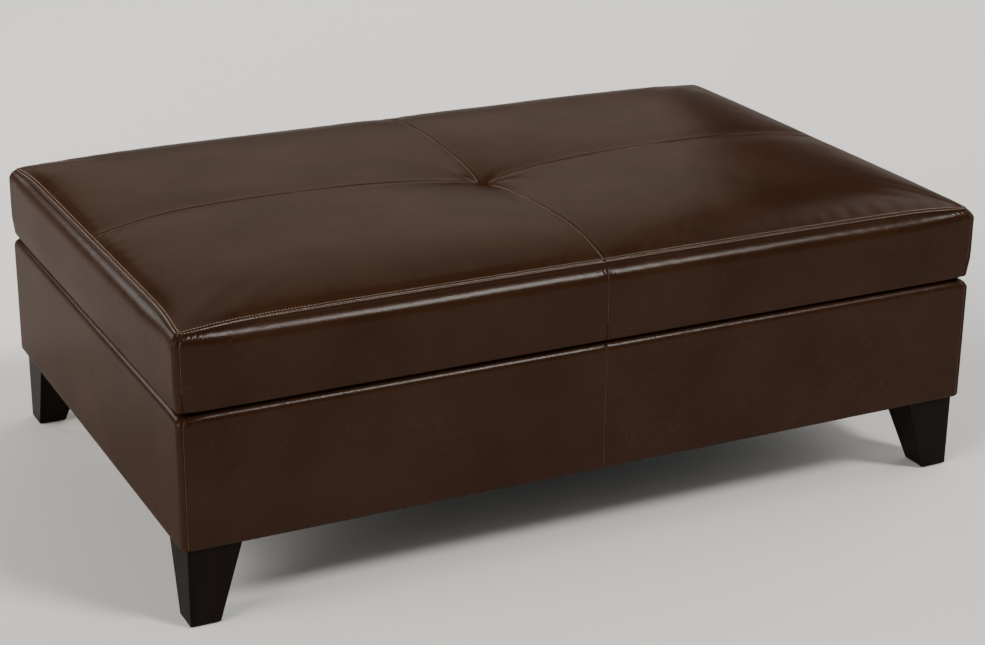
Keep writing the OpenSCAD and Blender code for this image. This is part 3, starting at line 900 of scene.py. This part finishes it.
def top_row(inset):
    """A row of stitches on the top, at a distance inside its seam."""
    arc_steps, step = 8, 5 * MM
    r = CORNER_R - inset
    points = []
    for (sx, sy), _, first in CORNERS:
        x, y = sx * (TOP_W - CORNER_R), sy * (TOP_D - CORNER_R)
        for k in range(arc_steps + 1):
            a = math.radians(first + 90 * k / arc_steps)
            points.append((x + r * math.cos(a), y + r * math.sin(a)))
    line = np.array(points + points[:1])
    along = along_of(line)
    spots = np.linspace(0, along[-1], int(along[-1] / step))
    x, y = (np.interp(spots, along, line[:, k]) for k in range(2))
    return top_surface(x, y), upward(len(spots))


def cross_row(x0, y0, x1, y1):
    """A row of stitches down in a seam of the top."""
    count, lift = 90, 0.35 * MM
    points = top_surface(np.linspace(x0, x1, count), np.linspace(y0, y1, count))
    points[:, 2] += lift
    return points, upward(count)


def upright_row(side, profile, drape, low, high):
    """A row of stitches down in the seam at the start of a side's skin."""
    lift = 0.45 * MM
    column = swept(side, profile, drape)[0]
    column = column[(column[:, 2] > low) & (column[:, 2] < high)]
    outward = np.tile([*side.at(0)[1][0], 0.0], (len(column), 1))
    return column + outward * lift, outward


def lid_stitching(material, upright_material):
    tuft_clear, foot_clear, seam_clear = 12 * MM, 4 * MM, 6 * MM
    stitching("lid_edge_stitching", [top_row(inset) for inset in ROWS], material, "lid")
    x, y = TOP_W - RIDGE, TOP_D - RIDGE
    rows = [cross_row(sx * tuft_clear, sy * tuft_clear, sx * x, sy * y)
            for sx, sy in ((1, 0), (-1, 0), (0, 1), (0, -1))]
    stitching("lid_top_stitching", rows, material, "lid")
    low, high = LID_LOW + foot_clear, SEAM_Z - seam_clear
    profile = lid_profile(LID_FOOT_R)
    rows = [upright_row(side, profile, lid_drape, low, high) for side in SIDES.values()]
    stitching("lid_corner_stitching", rows, upright_material, "lid")


def base_stitching(material):
    clear = 4 * MM
    low, high = BASE_LOW + clear, BASE_TOP - clear
    rows = [upright_row(side, base_profile, base_drape, low, high) for side in SIDES.values()]
    stitching("base_corner_stitching", rows, material, "base")


# ---- Materials ----


def new_material(name, roughness, metallic=0.0, specular=0.5):
    material = bpy.data.materials.new(name)
    material.use_nodes = True
    tree = material.node_tree
    shader = tree.nodes["Principled BSDF"]
    shader.inputs["Roughness"].default_value = roughness
    shader.inputs["Metallic"].default_value = metallic
    shader.inputs["Specular IOR Level"].default_value = specular
    return material, tree, shader


def feed(socket, value):
    """Links a socket to another node's output, or sets its value."""
    if isinstance(value, bpy.types.NodeSocket):
        socket.id_data.links.new(value, socket)
    else:
        socket.default_value = value


def dress(shader, colour, normal, rough=None):
    """Gives a shader what varies over its surface."""
    feed(shader.inputs["Base Color"], colour)
    feed(shader.inputs["Normal"], normal)
    if rough is not None:
        feed(shader.inputs["Roughness"], rough)


def add(tree, kind, inputs=None, **settings):
    """A node, with its settings and its sockets: a value, or another node's output."""
    node = tree.nodes.new(kind)
    for key, value in settings.items():
        setattr(node, key, value)
    for key, value in (inputs or {}).items():
        feed(node.inputs[key], value)
    return node


def ramp(fac, low, high):
    """Two stops, each its place and its colour or level."""
    node = add(fac.id_data, "ShaderNodeValToRGB", {"Fac": fac})
    for element, (place, colour) in zip(node.color_ramp.elements, (low, high)):
        element.position = place
        element.color = (*colour, 1) if isinstance(colour, tuple) else (colour,) * 3 + (1,)
    return node.outputs["Color"]


def math_node(operation, a, b=0.0):
    return add(a.id_data, "ShaderNodeMath", {0: a, 1: b}, operation=operation).outputs[0]


def mixed(fac, part, base, colour):
    """The base colour, with that part of fac of another colour over it."""
    amount = math_node("MULTIPLY", fac, part)
    inputs = {0: amount, 6: base, 7: (*colour, 1)}
    return add(fac.id_data, "ShaderNodeMix", inputs, data_type="RGBA").outputs[2]


def bump(height, strength, distance, normal=None):
    inputs = {"Height": height, "Strength": strength, "Distance": distance}
    if normal is not None:
        inputs["Normal"] = normal
    return add(height.id_data, "ShaderNodeBump", inputs).outputs["Normal"]


def object_coords(tree, stretch=(1, 1, 1)):
    """The piece's own coordinates, with features stretched out where a scale is under 1."""
    coords = add(tree, "ShaderNodeTexCoord").outputs["Object"]
    if stretch == (1, 1, 1):
        return coords
    return add(tree, "ShaderNodeMapping", {"Vector": coords, "Scale": stretch}).outputs[0]


def noise_tex(coords, scale, detail=4.0, rough=0.55, distortion=0.0):
    inputs = {
        "Vector": coords,
        "Scale": scale,
        "Detail": detail,
        "Roughness": rough,
        "Distortion": distortion,
    }
    return add(coords.id_data, "ShaderNodeTexNoise", inputs).outputs["Fac"]


def cells(coords, scale, feature="F1"):
    inputs = {"Vector": coords, "Scale": scale}
    return add(coords.id_data, "ShaderNodeTexVoronoi", inputs, feature=feature).outputs["Distance"]


def leather_material():
    """Dark brown bonded leather: fine pebbled grain, mottled colour, and a few pale creases."""
    deep, warm = (0.0265, 0.0100, 0.0040), (0.0385, 0.0168, 0.0078)
    shade, worn = (0.014, 0.0045, 0.0018), (0.13, 0.070, 0.038)
    material, tree, shader = new_material("leather", 0.36, specular=0.0)
    shader.inputs["Coat Weight"].default_value = 0.21
    shader.inputs["Coat Roughness"].default_value = 0.21
    coords = object_coords(tree)
    mottle = noise_tex(coords, 9, detail=5)
    base = ramp(mottle, (0.30, deep), (0.72, warm))
    base = mixed(noise_tex(coords, 700, detail=2), 0.30, base, shade)
    bent = noise_tex(coords, 17, detail=4, rough=0.6, distortion=1.5)
    away = math_node("ABSOLUTE", math_node("SUBTRACT", bent, 0.5))
    line = ramp(away, (0.0, 1), (0.006, 0))
    patch = ramp(noise_tex(coords, 3.2, detail=3), (0.46, 0), (0.62, 1))
    creases = math_node("MULTIPLY", line, patch)
    base = mixed(creases, 0.14, base, worn)
    rough = ramp(noise_tex(coords, 22), (0.3, 0.30), (0.7, 0.42))
    normal = bump(cells(coords, 620, "SMOOTH_F1"), 0.26, 0.0003)
    normal = bump(noise_tex(coords, 1500, detail=2), 0.13, 0.0002, normal)
    normal = bump(creases, 0.25, 0.0003, normal)
    normal = bump(noise_tex(coords, 60, detail=3), 0.09, 0.0010, normal)
    dress(shader, base, normal, rough)
    feed(shader.inputs["Coat Normal"], normal)
    return material


def thread_material(name, dark, light):
    """Waxed brown thread with the twist of its strands."""
    material, tree, shader = new_material(name, 0.45)
    coords = object_coords(tree)
    base = ramp(noise_tex(coords, 900, detail=2), (0.35, dark), (0.65, light))
    inputs = {"Vector": coords, "Scale": 500, "Distortion": 1.0}
    strands = add(tree, "ShaderNodeTexWave", inputs, bands_direction="DIAGONAL").outputs["Fac"]
    dress(shader, base, bump(strands, 0.4, 0.0002))
    return material


def foam_material():
    """Pale open-cell foam, with painted shade darkening the hollows of its pores."""
    painted_pore_shade, wall = (0.45, 0.37, 0.20), (0.82, 0.74, 0.50)
    material, tree, shader = new_material("foam", 0.95, specular=0.2)
    pores = cells(object_coords(tree), 900)
    # Painted shade: the low middle of each pore is coloured darker than its walls.
    base = ramp(pores, (0.1, painted_pore_shade), (0.6, wall))
    dress(shader, base, bump(pores, 0.7, 0.0006))
    return material


def board_material():
    """Raw fibreboard and ply: fine fibres along the board over a faint figure."""
    dark, light, streak = (0.30, 0.20, 0.11), (0.52, 0.38, 0.23), (0.24, 0.15, 0.08)
    material, tree, shader = new_material("board", 0.8, specular=0.25)
    along = object_coords(tree, (0.12, 1, 1))
    fibre = noise_tex(along, 180, detail=6, rough=0.65)
    figure = noise_tex(along, 14, detail=3, distortion=1.2)
    base = mixed(figure, 0.35, ramp(fibre, (0.3, dark), (0.7, light)), streak)
    dress(shader, base, bump(fibre, 0.3, 0.0003))
    return material


def leg_material():
    """Espresso-stained hardwood under satin lacquer, with its grain running down the leg."""
    dark, light = (0.0040, 0.0022, 0.0014), (0.0105, 0.0055, 0.0034)
    pore = (0.0030, 0.0020, 0.0016)
    material, tree, shader = new_material("leg_wood", 0.40, specular=0.01)
    shader.inputs["Coat Weight"].default_value = 0.14
    shader.inputs["Coat Roughness"].default_value = 0.3
    along = object_coords(tree, (1, 1, 0.06))
    grain = noise_tex(along, 260, detail=6, rough=0.7)
    figure = noise_tex(along, 45, detail=3, distortion=0.8)
    base = mixed(grain, 0.5, ramp(figure, (0.3, dark), (0.7, light)), pore)
    rough = ramp(grain, (0.3, 0.30), (0.7, 0.46))
    dress(shader, base, bump(grain, 0.22, 0.0002), rough)
    return material


def lining_material():
    """Black non-woven lining: pressed fibres with a fine embossed grid of points."""
    dark, light = (0.006, 0.006, 0.0065), (0.030, 0.030, 0.032)
    material, tree, shader = new_material("lining", 0.92, specular=0.25)
    coords = object_coords(tree)
    fibres = noise_tex(coords, 420, detail=8, rough=0.8)
    normal = bump(fibres, 0.5, 0.0004)
    normal = bump(cells(coords, 520), 0.35, 0.0004, normal)
    dress(shader, ramp(fibres, (0.3, dark), (0.7, light)), normal)
    return material


def steel_material():
    """Zinc-plated pressed steel, rolled one way and slightly clouded."""
    dull, bright = (0.46, 0.46, 0.47), (0.66, 0.66, 0.67)
    material, tree, shader = new_material("steel", 0.32, metallic=1.0)
    rolled = noise_tex(object_coords(tree, (1, 0.05, 1)), 1200, detail=3)
    cloud = noise_tex(object_coords(tree), 60)
    rough = ramp(rolled, (0.3, 0.26), (0.7, 0.42))
    base = ramp(cloud, (0.3, dull), (0.7, bright))
    dress(shader, base, bump(rolled, 0.12, 0.0001), rough)
    return material


def plastic_material():
    """Black moulded plastic with a fine spark finish."""
    material, tree, shader = new_material("plastic", 0.55)
    spark = noise_tex(object_coords(tree), 1600, detail=3)
    base = ramp(spark, (0.3, 0.012), (0.7, 0.028))
    dress(shader, base, bump(spark, 0.3, 0.0002))
    return material


def floor_material():
    material, _, shader = new_material("floor", 0.6, specular=0.1)
    shader.inputs["Base Color"].default_value = (0.86, 0.86, 0.85, 1)
    return material


# The thread on the top seam and the cross seams is a paler copy of the dark thread. Its pale
# colour is partly a painted highlight on the stitches. The dark thread is the thread's own colour.
PAINTED_HIGHLIGHT_THREAD = thread_material("thread", (0.20, 0.145, 0.105), (0.38, 0.29, 0.225))
DARK_THREAD = thread_material("dark_thread", (0.085, 0.050, 0.032), (0.17, 0.115, 0.080))
FINISHES = {
    "board": board_material(),
    "leg_wood": leg_material(),
    "lining": lining_material(),
    "steel": steel_material(),
    "plastic": plastic_material(),
    "foam": foam_material(),
    "leather": leather_material(),
}

# ---- Finishes of the frame's own nodes ----

BEVELS = {"leg_wood": 1.2 * MM, "steel": 0.25 * MM, "board": 0.6 * MM, "plastic": 0.4 * MM}
BEVEL_STEPS = 3
BEVEL_OVER = math.radians(35)


def finish_node(node, slot):
    obj = frame["nodes"][node]
    obj.data.materials.clear()
    obj.data.materials.append(FINISHES[slot])
    if slot in BEVELS:
        bevel = obj.modifiers.new("edges", "BEVEL")
        bevel.width = BEVELS[slot]
        bevel.segments = BEVEL_STEPS
        bevel.limit_method = "ANGLE"
        bevel.angle_limit = BEVEL_OVER


for part in frame["record"]["subparts"]:
    finish_node(part["node"], part["material_slot"])

# ---- The upholstery ----

HIDE, FOAM, LINING = FINISHES["leather"], FINISHES["foam"], FINISHES["lining"]

for sy, end in ((-1, "front"), (1, "back")):
    for sx, hand in ((-1, "left"), (1, "right")):
        lid_top(sx, sy, f"lid_top_{end}_{hand}", HIDE)

for side_name in SIDES:
    boxing = lid_profile(BACK_FOOT_R if side_name == "back" else LID_FOOT_R)
    skin(side_name, f"lid_boxing_{side_name}", boxing, lid_drape,
         HIDE, "lid")
    skin(side_name, f"base_cover_{side_name}", base_profile, base_drape,
         HIDE, "base")

lid_foam(FOAM)
base_padding(FOAM)
lid_stitching(PAINTED_HIGHLIGHT_THREAD, DARK_THREAD)
base_stitching(DARK_THREAD)

wall_lining(LINING)
flat_lining("storage_floor_sheet", "storage_floor_lining", "base", True,
            LINING, 0.8 * MM)
flat_lining("lid_under_lining", "lid_lining", "lid", False,
            LINING, 0.3 * MM)
flat_lining("base_dust_cover", "dust_cover", "base", False,
            LINING, 0.2 * MM)
staple_row("lid_lining", "lid", 0.2 * MM, FINISHES["steel"])
staple_row("dust_cover", "base", -0.1 * MM, FINISHES["steel"])

# ---- Floor, lights and camera ----

FLOOR_HALF = 40.0
CAMERA_PLACE = Vector((-1.308, -2.660, 1.327))
AZIMUTH = math.radians(26.53)
ELEVATION = math.radians(21.06)
ROLL = math.radians(0.6)
LENS_MM = 79.6
SENSOR_MM = 36
FAR_LIMIT = 60
KEY_SPREAD = math.radians(14)
WINDOW_SPREAD = math.radians(50)

# The sky: a pale band along the floor up to one height, fading to a dim room above another.
BAND, ROOM = (0.09, 0.50), (0.17, 0.06)


def floor(half):
    corners = [(-half, -half, 0), (half, -half, 0), (half, half, 0), (-half, half, 0)]
    mesh = new_mesh("floor", corners, [(0, 1, 2, 3)])
    mesh.materials.append(floor_material())
    new_object("floor", mesh)


def new_light(kind, name, towards, power, colour):
    """A light that shines from the direction given."""
    data = bpy.data.lights.new(name, kind)
    data.energy = power
    data.color = colour
    obj = new_object(name, data)
    obj.rotation_euler = Vector(towards).to_track_quat("Z", "Y").to_euler()
    return obj


def sunlight(name, towards, strength, spread, colour):
    """A wide soft light a long way off, which lights the whole floor evenly."""
    new_light("SUN", name, towards, strength, colour).data.angle = spread


def soft_light(name, place, aim, size, power, colour=(1, 1, 1)):
    """A rectangle of light, out of the camera's sight."""
    obj = new_light("AREA", name, Vector(place) - Vector(aim), power, colour)
    obj.location = place
    obj.visible_camera = False
    obj.data.shape = "RECTANGLE"
    obj.data.size, obj.data.size_y = size


def studio_world():
    """A dim room with a pale band of wall along the floor."""
    world = bpy.data.worlds.new("world")
    bpy.context.scene.world = world
    world.use_nodes = True
    tree = world.node_tree
    direction = add(tree, "ShaderNodeTexCoord").outputs["Generated"]
    height = add(tree, "ShaderNodeSeparateXYZ", {"Vector": direction}).outputs["Z"]
    feed(tree.nodes["Background"].inputs["Color"], ramp(height, BAND, ROOM))


def add_camera():
    """Stands front left of the ottoman and a little above it."""
    forward = Vector((
        math.sin(AZIMUTH) * math.cos(ELEVATION),
        math.cos(AZIMUTH) * math.cos(ELEVATION),
        -math.sin(ELEVATION),
    ))
    level = Vector((math.cos(AZIMUTH), -math.sin(AZIMUTH), 0))
    above = level.cross(forward)
    right = level * math.cos(ROLL) + above * math.sin(ROLL)
    up = above * math.cos(ROLL) - level * math.sin(ROLL)
    data = bpy.data.cameras.new("camera")
    data.sensor_width = SENSOR_MM
    data.lens = LENS_MM
    data.clip_end = FAR_LIMIT
    camera = new_object("camera", data)
    turn = Matrix((right, up, -forward)).transposed()
    camera.matrix_world = Matrix.Translation(CAMERA_PLACE) @ turn.to_4x4()
    bpy.context.scene.camera = camera


floor(FLOOR_HALF)
studio_world()
sunlight("key", (0.42, -0.51, 0.76), 1.95, KEY_SPREAD, (1.0, 0.98, 0.94))
sunlight("left_window", (-0.85, -0.12, 0.50), 3.0, WINDOW_SPREAD, (1.0, 0.95, 0.88))
sunlight("right_window", (0.85, 0.25, 0.46), 1.3, WINDOW_SPREAD, (1.0, 0.98, 0.95))
soft_light("left_back_sheen", (-1.85, 2.5, 1.4), (-0.5, 0, 0.35), (0.8, 0.8), 15.0)
soft_light("back_sheen", (0.95, 3.1, 2.7), (0.1, 0, 0.4), (3.0, 3.8), 44.0, (1.0, 0.90, 0.78))
add_camera()
